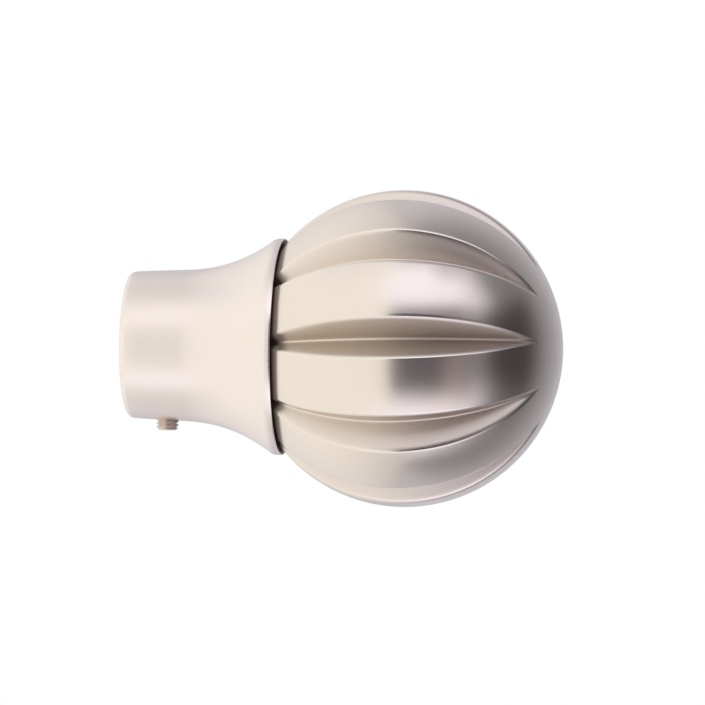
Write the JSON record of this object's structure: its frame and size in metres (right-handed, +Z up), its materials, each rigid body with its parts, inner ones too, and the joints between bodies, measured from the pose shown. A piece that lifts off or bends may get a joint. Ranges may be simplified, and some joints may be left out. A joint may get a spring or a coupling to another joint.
{
  "type": "curtain pole finial",
  "caption": "Fluted ball finial with a flared neck that slides over the end of a curtain pole and is held by a grub screw underneath.",
  "frame": {"origin": "centre of the pole socket's floor, where the end face of the pole stops", "axes": "+X along the pole from the socket towards the tip of the ball, +Z up, grub screw on the -Z side"},
  "size_m": [0.0964, 0.07, 0.07],
  "materials": {
    "ball": "polished warm satin nickel plate",
    "neck": "warm satin nickel plate",
    "grub_screw": "nickel plated steel, threaded",
    "fixing_screw": "zinc plated steel",
    "spring_washer": "zinc plated spring steel"
  },
  "bodies": {
    "finial": {"fluted_ball": "ball", "flared_neck": "neck", "fixing_screw": "fixing_screw", "spring_washer": "spring_washer"},
    "grub_screw": {"grub_screw": "grub_screw"}
  },
  "joints": [
    {"name": "grub_screw_travel", "type": "slide", "parent": "finial", "child": "grub_screw", "axis": [0, 0, 1], "range_m": [-0.001, 0.0022]}
  ]
}
